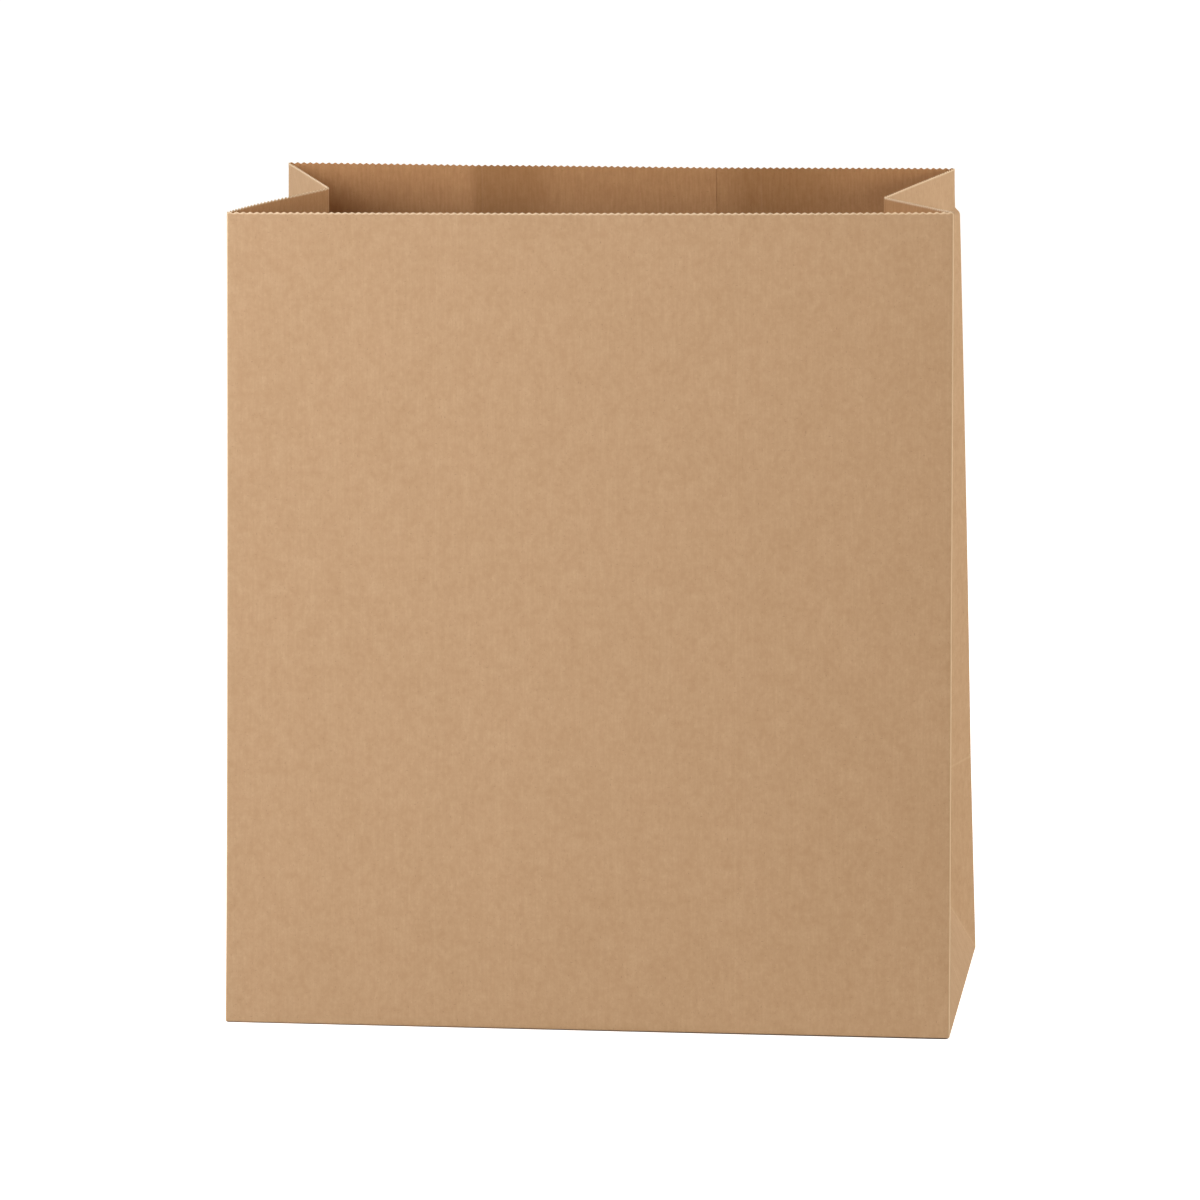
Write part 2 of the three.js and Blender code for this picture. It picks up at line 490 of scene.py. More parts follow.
    def side_moves(self, around: Array, share: Array) -> Array:
        """Says how the front half of the left side bows outwards near the mouth.

        Args:
            around: The way round the bag, within one turn.
            share: How high the points are, from 0 at the foot to 1 at the mouth.

        Returns:
            The moves to the right and to the back, one row each.
        """
        size = self.folds.sizes
        part = np.clip((size.girth - around) / size.half_side, 0, 1)
        highest = 4 / 27  # of part * (1 - part) ** 2
        bow = self.side_bow / highest * part * (1 - part) ** 2 * share**2
        tuck = math.acos((1 - math.sin(size.lean)) / math.cos(size.lean))
        return np.outer(bow, [-math.cos(tuck), math.sin(tuck)])


@dataclass(frozen=True)
class Stretch:
    """Part of the strip, from one fold or free edge to the next."""

    start: float
    end: float
    teeth: int
    folded: tuple[bool, bool] = (True, True)  # at its start and at its end


@dataclass
class PaperSheet:
    """The whole sheet of paper, folded: the walls, the lap at the back, the teeth and the base."""

    stance: PaperSet = field(default_factory=PaperSet)
    near_fold: Pair = (0.35, 0.9)  # how far from a fold two more columns or rows lie
    under_mouth: Pair = (4.0, 1.6)  # from the teeth's valleys to the last two rows
    pinch_rows: int = 5
    wall_row: float = 6.2
    # How far past the foot crease the rows of the base lie.
    base_rows: tuple[float, ...] = (0.35, 0.9, 5, 14, 26, 38, 50, 62, 72, 77, 78.5, 80, 86, 93, 99)
    corner_columns: int = 6  # over each folded corner of a long flap
    tooth_points: int = 8  # along the mouth, for each tooth
    points: list[Pair] = field(default_factory=list)
    index: dict[Pair, int] = field(default_factory=dict)
    faces: list[list[int]] = field(default_factory=list)

    @property
    def folds(self) -> FoldMap:
        """Where the sheet's points lie in the ideal folded bag."""
        return self.stance.folds

    def point(self, strip: float, up: float) -> int:
        """Numbers a point of the sheet, which is new only if no face has used its place.

        Args:
            strip: The way along the strip.
            up: The height along the paper.

        Returns:
            The point's number.
        """
        key = round(strip, 3), round(up, 3)
        if key not in self.index:
            self.index[key] = len(self.points)
            self.points.append((strip, up))
        return self.index[key]

    def add_face(self, *corners: Pair) -> None:
        """Adds a face, unless its points are fewer than three once repeated ones are dropped.

        Args:
            *corners: Its points as (strip, up), in order.
        """
        numbers = [self.point(*corner) for corner in corners]
        kept = [n for i, n in enumerate(numbers) if n != numbers[i - 1]]
        if len(set(kept)) > 2:
            self.faces.append(kept)

    def spread(self, part: Stretch) -> list[float]:
        """Spaces columns over part of the strip, one for each tooth and more beside each fold.

        Args:
            part: The part of the strip.

        Returns:
            The columns, the end's left out.
        """
        columns = list(np.linspace(part.start, part.end, part.teeth + 1)[:-1])
        if part.folded[0]:
            columns += [part.start + gap for gap in self.near_fold]
        if part.folded[1]:
            columns += [part.end - gap for gap in self.near_fold]
        return sorted(columns)

    def parts(self) -> list[Stretch]:
        """Lists the strip's parts.

        Returns:
            The parts in order along the strip.
        """
        size = self.folds.sizes
        start, end = size.ends
        half, teeth = size.half_side, size.half_side_teeth
        lapped = size.panel_teeth - size.seam_from_left
        folds = [-2 * half, -half, 0.0, size.panel, size.panel + half, size.back_start]
        counts = [size.seam_from_left + size.seam_teeth, teeth, teeth, size.panel_teeth]
        counts += [teeth, teeth, lapped]
        spans = zip([start, *folds], [*folds, end], counts)
        return [Stretch(a, b, count, (a > start, b < end)) for a, b, count in spans]

    def wall_rows(self) -> list[float]:
        """Spaces the rows of the walls so that the sides' slanting folds cross at grid points.

        Returns:
            The rows' heights along the paper, the mouth's left out.
        """
        size = self.folds.sizes
        half, stance = size.half_side, self.stance
        low = self.spread(Stretch(0, half, size.half_side_teeth))
        top, last = (size.valley - gap for gap in self.under_mouth)
        high = np.linspace(half, top, round((top - half) / self.wall_row) + 1)
        pinched = np.linspace(stance.pinch_from, stance.pinch_to, self.pinch_rows + 1)[:-1]
        return sorted([*low, *high, *pinched, *(half + gap for gap in self.near_fold), last])

    def build_walls(self) -> None:
        """Adds the faces of the walls, with the sides' faces split along their slanting folds."""
        size = self.folds.sizes
        rows = self.wall_rows()
        for part in self.parts():
            columns = [*self.spread(part), part.end]
            is_side = part.teeth == size.half_side_teeth
            rises = part.start in (-2 * size.half_side, size.panel)  # it starts at a corner crease
            for left, right in zip(columns, columns[1:]):
                for low, high in zip(rows, rows[1:]):
                    corners = [(left, low), (right, low), (right, high), (left, high)]
                    inset, fold = (left - part.start, low) if rises else (part.end - left, high)
                    if is_side and high <= size.half_side + CLOSE and abs(inset - fold) < CLOSE:
                        first, second = (2, 0) if rises else (3, 1)
                        self.add_face(*corners[:2], corners[first])
                        self.add_face(corners[second], *corners[2:])
                    else:
                        self.add_face(*corners)
                self.mouth_fan(left, right, rows[-1])

    def mouth_fan(self, left: float, right: float, low: float) -> None:
        """Adds the face under the mouth's cut edge between two columns, with close points on top.

        Args:
            left: The left column's place along the strip.
            right: The right column's place.
            low: The height of the row under it.
        """
        size = self.folds.sizes
        count = max(1, round(self.tooth_points * (right - left) / size.pitch))
        top = [(x, size.valley) for x in np.linspace(right, left, count + 1)]
        self.add_face((left, low), (right, low), *top)

    def build_base(self) -> None:
        """Adds the faces of the base: the sides' ends, the corners' triangles and the long flaps."""
        rows = [0.0, *self.base_rows]
        for part in self.parts():
            columns = [*self.spread(part), part.end]
            for near, far in zip(rows, rows[1:]):
                lower = self.base_row(part, columns, far)
                upper = self.base_row(part, columns, near)
                for a, b, c, d in zip(lower, lower[1:], upper[1:], upper):
                    self.add_face((a, -far), (b, -far), (c, -near), (d, -near))

    def base_row(self, part: Stretch, columns: list[float], under: float) -> list[float]:
        """Spaces one row of the base, with extra columns where a long flap's corner folds back.

        Args:
            part: The part of the strip that the row is in.
            columns: The columns of its walls.
            under: How far the row is past the foot crease.

        Returns:
            The row's places along the strip.
        """
        start, end, steps = part.start, part.end, self.corner_columns + 1
        if end - start < self.folds.sizes.half_side + CLOSE:
            return columns
        first = start + under if part.folded[0] else start
        last = end - under if part.folded[1] else end
        scaled = [first + (c - start) * (last - first) / (end - start) for c in columns]
        before = np.linspace(start, first, steps)[:-1] if part.folded[0] else ()
        after = np.linspace(last, end, steps)[1:] if part.folded[1] else ()
        return [*before, *scaled, *after]

    def line_distances(self, strip: Array, up: Array) -> dict[SheetLine, Array]:
        """Measures how far each point is from the sheet's lines of each kind.

        The pressed lines are where the tucked sides lay against the panels while the bag was flat.

        Args:
            strip: The way along the strip.
            up: The height along the paper.

        Returns:
            The distances by kind of line. Where a wall has no line of a kind, they are large.
        """
        size = self.folds.sizes
        half, inset = size.half_side, size.half_panel - size.half_side
        x, y, hand = self.folds.flat_place(strip)
        on_panel = hand == 0
        corner = np.where(on_panel, size.half_panel - np.abs(x), half - np.abs(y))
        slant = np.where(~on_panel & (up <= half), np.abs(corner - up) / math.sqrt(2), half)
        knee = np.where(y > 0, np.abs(up - half), half)
        ends = np.minimum(np.abs(size.valley - up), np.abs(up + size.flap))
        return {
            SheetLine.CORNER: corner,
            SheetLine.FOOT: np.abs(up),
            SheetLine.VALLEY: np.where(on_panel, half, np.abs(y)),
            SheetLine.SLANT: np.minimum(slant, knee),
            SheetLine.PRESSED: np.where(on_panel, np.abs(inset - np.abs(x)), half),
            SheetLine.CUT: ends,
        }

    def teeth_along(self, strip: Array) -> Array:
        """Counts the teeth from the last fold to each point of the mouth.

        Args:
            strip: The way along the strip.

        Returns:
            The counts.
        """
        along = np.zeros_like(strip)
        for part in self.parts():
            here = (strip >= part.start - CLOSE) & (strip <= part.end + CLOSE)
            counted = (strip - part.start) / (part.end - part.start) * part.teeth
            along = np.where(here, counted, along)
        return along

    def build(self, origin: Vector) -> Object:
        """Builds the sheet's middle surface, with what the paper tree and the finish read.

        Args:
            origin: The middle of the base in the frame, in metres.

        Returns:
            The new object.
        """
        self.build_walls()
        self.build_base()
        flat = np.array(self.points)
        strip, up = flat[:, 0], flat[:, 1]
        placed = self.folds.soften(strip, up) + self.stance.offsets(strip, up)
        mesh = bpy.data.meshes.new("kraft_sheet")
        mesh.from_pydata((placed * MM + np.array(origin)).tolist(), [], self.faces)
        mesh.validate()
        size = self.folds.sizes
        at_mouth = (np.abs(up - size.valley) < CLOSE).astype(float)
        lines = self.line_distances(strip, up)
        values = {line.value: distance for line, distance in lines.items()}
        nearest = [lines[line] for line in (SheetLine.CORNER, SheetLine.FOOT, SheetLine.VALLEY)]
        values |= {"fold_mm": np.min(nearest, 0), "at_mouth": at_mouth}
        values["teeth_along"] = self.teeth_along(strip)
        _, y, hand = self.folds.flat_place(strip)
        values["on_back"] = ((hand == 0) & (y > 0)).astype(float)
        for name, numbers in values.items():
            mesh.attributes.new(name, "FLOAT", "POINT").data.foreach_set("value", numbers)
        on_sheet = np.stack([strip, up, np.zeros_like(up)], 1)
        attribute = mesh.attributes.new("sheet_mm", "FLOAT_VECTOR", "POINT")
        attribute.data.foreach_set("vector", on_sheet.ravel())
        sheet = bpy.data.objects.new("kraft_bag", mesh)
        bpy.context.scene.collection.objects.link(sheet)
        return sheet


@dataclass(frozen=True)
class PaperTree:
    """Geometry nodes that cut the mouth's teeth, cockle the paper and give it its thickness."""

    sizes: BagSizes = field(default_factory=BagSizes)
    cockle_height: float = 0.22
    cockle_length: float = 70.0
    cockle_gain: float = 4.0  # the noise keeps within about an eighth of 0.5, either way
    held_flat: float = 30.0  # how far from a fold the paper is free to cockle fully
    weld: float = 1e-6  # in metres
    sharp_fold: float = math.radians(55)
    seed: float = 3.0

    def inputs(self) -> dict[str, tuple[str, object]]:
        """Lists the tree's named inputs.

        Returns:
            The type and the value of each input's socket, with lengths in metres.
        """
        lean = self.sizes.lean
        return {
            "Tooth depth": ("NodeSocketFloat", self.sizes.tooth_depth * MM),
            "Up the paper": ("NodeSocketVector", (0.0, math.sin(lean), math.cos(lean))),
            "Paper thickness": ("NodeSocketFloat", self.sizes.paper * MM),
            "Cockle height": ("NodeSocketFloat", self.cockle_height * MM),
            "Cockles per mm": ("NodeSocketFloat", 1 / self.cockle_length),
            "Seed": ("NodeSocketFloat", self.seed),
            "Paper": ("NodeSocketMaterial", None),
        }

    def build(self) -> NodeTree:
        """Builds the tree.

        Returns:
            The new tree.
        """
        tree = bpy.data.node_groups.new("Pinked paper", "GeometryNodeTree")
        tree.interface.new_socket("Geometry", in_out="INPUT", socket_type="NodeSocketGeometry")
        for name, (kind, _) in self.inputs().items():
            tree.interface.new_socket(name, in_out="INPUT", socket_type=kind)
        tree.interface.new_socket("Geometry", in_out="OUTPUT", socket_type="NodeSocketGeometry")
        given = add_node(tree, "NodeGroupInput").outputs
        teeth = self.cut_teeth(tree, given)
        cockled = self.cockle(tree, given, teeth)
        shell = self.thicken(tree, given, cockled)
        real = add_node(tree, "GeometryNodeRealizeInstances", Geometry=shell)
        dressed = add_node(tree, "GeometryNodeSetMaterial", Geometry=real, Material=given["Paper"])
        add_node(tree, "NodeGroupOutput", Geometry=dressed)
        return tree

    def cut_teeth(self, tree: NodeTree, given: NodeOutputs) -> Node:
        """Lifts the mouth's points into teeth with slightly rounded tips and valleys.

        Args:
            tree: The node tree.
            given: The tree's inputs.

        Returns:
            The node that gives the cut sheet.
        """
        along = add_node(tree, NAMED_ATTRIBUTE, NUMBERS, Name="teeth_along").outputs["Attribute"]
        at_mouth = add_node(tree, NAMED_ATTRIBUTE, NUMBERS, Name="at_mouth").outputs["Attribute"]
        bounce = add_node(tree, MATH, {"operation": "PINGPONG"}, i0=along, i1=0.5)
        straight = add_node(tree, MATH, MULTIPLY, i0=bounce, i1=2.0)
        rounded = add_node(tree, MAP_RANGE, SMOOTH_STEP, Value=straight)
        lift = add_node(tree, MATH, {"operation": "ADD"}, i0=straight, i1=rounded)
        for factor in (given["Tooth depth"], 0.5, at_mouth):
            lift = add_node(tree, MATH, MULTIPLY, i0=lift, i1=factor)
        offset = add_node(tree, VECTOR_MATH, SCALE, i0=given["Up the paper"], Scale=lift)
        return add_node(tree, "GeometryNodeSetPosition", Geometry=given["Geometry"], Offset=offset)

    def cockle(self, tree: NodeTree, given: NodeOutputs, sheet: Node) -> Node:
        """Moves the paper in and out a little in long soft waves, less beside its folds.

        Args:
            tree: The node tree.
            given: The tree's inputs.
            sheet: The node that gives the sheet.

        Returns:
            The node that gives the cockled sheet.
        """
        place = add_node(tree, "GeometryNodeInputPosition")
        per_metre = add_node(tree, MATH, MULTIPLY, i0=given["Cockles per mm"], i1=1 / MM)
        noise = {"Vector": place, "W": given["Seed"], "Scale": per_metre, "Detail": 1.0}
        waves = add_node(tree, NOISE, WITH_SEED, **noise)
        from_fold = add_node(tree, NAMED_ATTRIBUTE, NUMBERS, Name="fold_mm").outputs["Attribute"]
        free = add_node(tree, MAP_RANGE, SMOOTH_STEP, Value=from_fold, From_Max=self.held_flat)
        height = add_node(tree, MATH, SUBTRACT, i0=waves, i1=0.5)
        for factor in (free, given["Cockle height"], self.cockle_gain):
            height = add_node(tree, MATH, MULTIPLY, i0=height, i1=factor)
        normal = add_node(tree, "GeometryNodeInputNormal")
        offset = add_node(tree, VECTOR_MATH, SCALE, i0=normal, Scale=height)
        on_sheet = add_node(tree, NAMED_ATTRIBUTE, {"data_type": "FLOAT_VECTOR"}, Name="sheet_mm")
        parted = add_node(tree, "ShaderNodeSeparateXYZ", Vector=on_sheet.outputs["Attribute"])
        above = {"operation": "GREATER_THAN"}
        on_wall = add_node(tree, "FunctionNodeCompare", above, A=parted.outputs["Y"], B=0.0)
        moves = {"Selection": on_wall, "Offset": offset}
        return add_node(tree, "GeometryNodeSetPosition", Geometry=sheet, **moves)

    def thicken(self, tree: NodeTree, given: NodeOutputs, sheet: Node) -> Node:
        """Gives the sheet its thickness, half on each side of its middle surface.

        Args:
            tree: The node tree.
            given: The tree's inputs.
            sheet: The node that gives the sheet.

        Returns:
            The node that gives the closed shell.
        """
        normal = add_node(tree, "GeometryNodeInputNormal")
        half = add_node(tree, MATH, MULTIPLY, i0=given["Paper thickness"], i1=-0.5)
        inwards = add_node(tree, VECTOR_MATH, SCALE, i0=normal, Scale=half)
        inner = add_node(tree, "GeometryNodeSetPosition", Geometry=sheet, Offset=inwards)
        outwards = {"Mesh": inner, "Offset_Scale": given["Paper thickness"], "Individual": False}
        raised = add_node(tree, "GeometryNodeExtrudeMesh", {"mode": "FACES"}, **outwards)
        on_faces = {"data_type": "FLOAT", "domain": "FACE"}
        mark = {"Geometry": inner, "Name": "inner_face", "Value": 1.0}
        marked = add_node(tree, "GeometryNodeStoreNamedAttribute", on_faces, **mark)
        joined = add_node(tree, "GeometryNodeJoinGeometry")
        for part in (add_node(tree, "GeometryNodeFlipFaces", Mesh=marked), raised):
            tree.links.new(part.outputs[0], joined.inputs[0])
        welded = add_node(tree, "GeometryNodeMergeByDistance", Geometry=joined, Distance=self.weld)
        return add_node(tree, "GeometryNodeSetShadeSmooth", Geometry=welded)

    def apply(self, piece: Object, material: Material) -> None:
        """Runs the tree on a piece and keeps the result as its plain mesh.

        Args:
            piece: The sheet's middle surface.
            material: The finish that the tree sets.
        """
        tree = self.build()
        modifier = piece.modifiers.new("Pinked paper", "NODES")
        modifier.node_group = tree
        values = {name: value for name, (_, value) in self.inputs().items()} | {"Paper": material}
        for item in tree.interface.items_tree:
            if item.in_out == "INPUT" and item.name in values:
                modifier[item.identifier] = values[item.name]
        graph = bpy.context.evaluated_depsgraph_get()
        made = bpy.data.meshes.new_from_object(piece.evaluated_get(graph))
        piece.modifiers.clear()
        piece.data = made
        made.name = piece.name
        made.set_sharp_from_angle(angle=self.sharp_fold)


@dataclass(frozen=True)
class Cloud:
    """One layer of noise in the paper's colour, with features of a real size in millimetres."""

    size: Pair  # across the sheet and up it
    share: float  # how much of its colour shows where the noise is high
    colour: str
    limits: Pair = (0.3, 0.7)  # values of the noise between which it comes in
    detail: float = 2.0


@dataclass(frozen=True)
class KraftPaper:
    """Unbleached kraft paper, about 100 g per square metre, machine-made and uncoated.

    To the eye it is a warm mid brown, matt with a very soft sheen, slightly cloudy where the
    fibres lie thick or thin, finely streaked up the sheet, flecked with short dark fibres, and
    paler where a fold or a cut has roughed it up, which on the corner creases and the cut edges
    is also a painted highlight. Its inner side is browner and more streaked, because only the outer
    one was pressed on a smooth dryer, and its browner tone is also painted shade for the dim inside
    of the bag, with two bands of painted shade on the back.
    """

    brown: str = "#c39e79"
    clouds: tuple[Cloud, ...] = (
        Cloud((34.0, 46.0), 0.6, "#b8946e"),
        Cloud((10.0, 12.0), 0.6, "#ccaa85"),
        Cloud((5.0, 6.0), 0.65, "#b7926b", detail=3.0),
        Cloud((2.4, 3.0), 0.5, "#ccaa85"),
        Cloud((1.0, 1.3), 0.4, "#ba966f"),
        Cloud((0.9, 20.0), 0.3, "#b8946e"),
        # Real fibres are about 0.03 mm thick, too fine to show, so these flecks are thicker.
        Cloud((1.7, 0.45), 0.5, "#8a6542", (0.66, 0.78), 1.0),
        Cloud((0.45, 1.9), 0.5, "#8a6542", (0.66, 0.78), 1.0),
        Cloud((0.5, 1.2), 0.4, "#dcbd9b", (0.64, 0.8), 1.0),
    )
    # Pale colour of rubbed fibres, also used as a painted highlight on the corner creases and cut
    # edges.
    wear_and_highlight_colour: str = "#efd5b0"
    # Each kind of line with the reach of its paling and how strong that is on the line.
    wear_and_highlight: tuple[tuple[SheetLine, float, float], ...] = (
        # Corner creases and cut edges: real rubbed wear together with a painted highlight.
        (SheetLine.CORNER, 0.75, 1.0),
        (SheetLine.FOOT, 0.6, 0.1),
        (SheetLine.VALLEY, 0.6, 0.3),
        (SheetLine.SLANT, 0.9, 0.12),
        (SheetLine.PRESSED, 0.6, 0.06),
        (SheetLine.CUT, 0.65, 1.0),
    )
    # Browner inner side: partly the rough side's own tone, partly painted shade for the dim inside.
    inner_tone_and_shade: str = "#ffebce"
    inner_streak: Cloud = Cloud((1.1, 9.0), 1.0, "#f5dcbe", (0.3, 0.7), 3.0)
    # Tint of the painted shade bands on the back's inner side.
    band_shade_tint: str = "#ede8de"
    # Painted shade on the shaded flanks of the back's inner ridges, in bands. Along the strip,
    # where each band starts, is full, starts to fade and ends.
    painted_shade_bands: tuple[tuple[float, ...], ...] = (
        (525.0, 562.0, 576.0, 592.0),
        (-306.0, -286.0, -266.0, -261.0),
    )
    # The real tooth is about 0.1 mm across, too fine to show, so it is drawn coarser.
    tooth_size: Pair = (0.5, 0.7)
    tooth_height: float = 0.03
    tooth_strength: float = 0.25
    tooth_seed: float = 20.0
    roughness: float = 0.82
    ior: float = 1.45

    def build(self) -> Material:
        """Builds the material, with the paper's fine tooth as bump.

        Returns:
            The new material.
        """
        material = bpy.data.materials.new("unbleached_kraft_paper")
        material.use_nodes = True
        tree = material.node_tree
        shader = tree.nodes["Principled BSDF"]
        shader.inputs["Roughness"].default_value = self.roughness
        shader.inputs["IOR"].default_value = self.ior
        sheet = add_node(tree, ATTRIBUTE, {"attribute_name": "sheet_mm"}).outputs["Vector"]
        inner = add_node(tree, ATTRIBUTE, {"attribute_name": "inner_face"}).outputs["Fac"]
        colour = linear(self.brown)
        for seed, cloud in enumerate(self.clouds, 1):
            colour = self.clouded(tree, sheet, colour, cloud, seed)
        colour = self.wear_and_highlight_at_lines(tree, self.rough_and_shaded_inside(tree, sheet, colour, inner), inner)
        tree.links.new(colour, shader.inputs["Base Color"])
        scale = tuple(1 / length for length in (*self.tooth_size, 1.0))
        scaled = add_node(tree, MAPPING, Vector=sheet, Scale=scale)
        noise = {"Vector": scaled, "W": self.tooth_seed, "Scale": 1.0, "Detail": 2.0}
        fine = add_node(tree, NOISE, WITH_SEED, **noise)
        tooth = {"Strength": self.tooth_strength, "Distance": self.tooth_height * MM}
        bump = add_node(tree, "ShaderNodeBump", Height=fine, **tooth)
        tree.links.new(bump.outputs[0], shader.inputs["Normal"])
        return material

    def clouded(
        self,
        tree: NodeTree,
        sheet: NodeSocket,
        colour: NodeSocket | Colour,
        cloud: Cloud,
        seed: int,
    ) -> NodeSocket:
        """Lays one layer of noise over the colour.

        Args:
            tree: The node tree.
            sheet: The socket of the place on the sheet.
            colour: The colour so far.
            cloud: The layer.
            seed: The layer's seed.

        Returns:
            The new colour's socket.
        """
        scale = tuple(1 / length for length in (*cloud.size, 1.0))
        scaled = add_node(tree, MAPPING, Vector=sheet, Scale=scale)
        noise = {"Vector": scaled, "W": float(seed), "Scale": 1.0, "Detail": cloud.detail}
        value = add_node(tree, NOISE, WITH_SEED, **noise)
        low, high = cloud.limits
        rise = {"From_Min": low, "From_Max": high, "To_Max": cloud.share}
        share = add_node(tree, MAP_RANGE, SMOOTH_STEP, Value=value, **rise)
        tint = linear(cloud.colour)
        return add_node(tree, MIX, COLOURS, i0=share, i6=colour, i7=tint).outputs[2]

    def rough_and_shaded_inside(
        self,
        tree: NodeTree,
        sheet: NodeSocket,
        colour: NodeSocket,
        inner: NodeSocket,
    ) -> NodeSocket:
        """Browns and streaks the sheet's inner side, as its own tone and as painted shade.

        Two bands of painted shade darken the shaded flanks of the back's inner ridges.

        Args:
            tree: The node tree.
            sheet: The socket of the place on the sheet.
            colour: The colour so far.
            inner: The socket that is 1 on the inner side.

        Returns:
            The new colour's socket.
        """
        seed = len(self.clouds) + 1
        # The inner side's browner tint is partly its own tone and partly painted shade.
        tint = self.clouded(tree, sheet, linear(self.inner_tone_and_shade), self.inner_streak, seed)
        around = add_node(tree, "ShaderNodeSeparateXYZ", Vector=sheet).outputs["X"]
        # Painted shade: two darker bands on the shaded flanks of the back's inner ridges.
        for start, full, fading, end in self.painted_shade_bands:
            rise = {"From_Min": start, "From_Max": full}
            fall = {"From_Min": fading, "From_Max": end, "To_Min": 1.0, "To_Max": 0.0}
            rising = add_node(tree, MAP_RANGE, SMOOTH_STEP, Value=around, **rise)
            falling = add_node(tree, MAP_RANGE, SMOOTH_STEP, Value=around, **fall)
            share = add_node(tree, MATH, MULTIPLY, i0=rising, i1=falling)
            band = linear(self.band_shade_tint)
            tint = add_node(tree, MIX, TINTS, i0=share, i6=tint, i7=band).outputs[2]
        return add_node(tree, MIX, TINTS, i0=inner, i6=colour, i7=tint).outputs[2]

    def wear_and_highlight_at_lines(self, tree: NodeTree, colour: NodeSocket, inner: NodeSocket) -> NodeSocket:
        """Pales the paper along its folds and pressed lines, and where the teeth were cut.

        The pale line is worn fibres, and on the corner creases and the cut edges it is also a painted
        highlight. The cutter comes through from the front, so it leaves the back's inner side clean.

        Args:
            tree: The node tree.
            colour: The colour so far.
            inner: The socket that is 1 on the inner side.

        Returns:
            The new colour's socket.
        """
        wear_and_highlight_colour = linear(self.wear_and_highlight_colour)
        on_back = add_node(tree, ATTRIBUTE, {"attribute_name": "on_back"}).outputs["Fac"]
        clean = add_node(tree, MATH, MULTIPLY, i0=inner, i1=on_back)
        pale_cut_allowed = add_node(tree, MAP_RANGE, SMOOTH_STEP, Value=clean, To_Min=1.0, To_Max=0.0)
        for line, width, share in self.wear_and_highlight:
            name = {"attribute_name": line.value}
            away = add_node(tree, ATTRIBUTE, name).outputs["Fac"]
            fall = {"From_Max": width, "To_Min": share, "To_Max": 0.0}
            near = add_node(tree, MAP_RANGE, SMOOTH_STEP, Value=away, **fall)
            # The cut edges' pale line is partly a painted highlight, left off the back's inner side.
            if line is SheetLine.CUT:
                near = add_node(tree, MATH, MULTIPLY, i0=near, i1=pale_cut_allowed)
            colour = add_node(tree, MIX, COLOURS, i0=near, i6=colour, i7=wear_and_highlight_colour).outputs[2]
        return colour


@dataclass(frozen=True)
class Softbox:
    """A large soft light."""

    name: str
    place: Triple
    size: Pair
    power: float
    tint: str = "#ffffff"

    def build(self, target: Vector) -> None:
        """Adds the light, turned to a target.

        Args:
            target: The point that it faces.
        """
        light = bpy.data.lights.new(self.name, "AREA")
        light.shape, light.size, light.size_y = "RECTANGLE", *self.size
        light.energy, light.color = self.power, linear(self.tint)[:3]
        lamp = bpy.data.objects.new(self.name, light)
        lamp.location = self.place
        lamp.rotation_euler = (target - Vector(self.place)).to_track_quat("-Z", "Y").to_euler()
        bpy.context.scene.collection.objects.link(lamp)


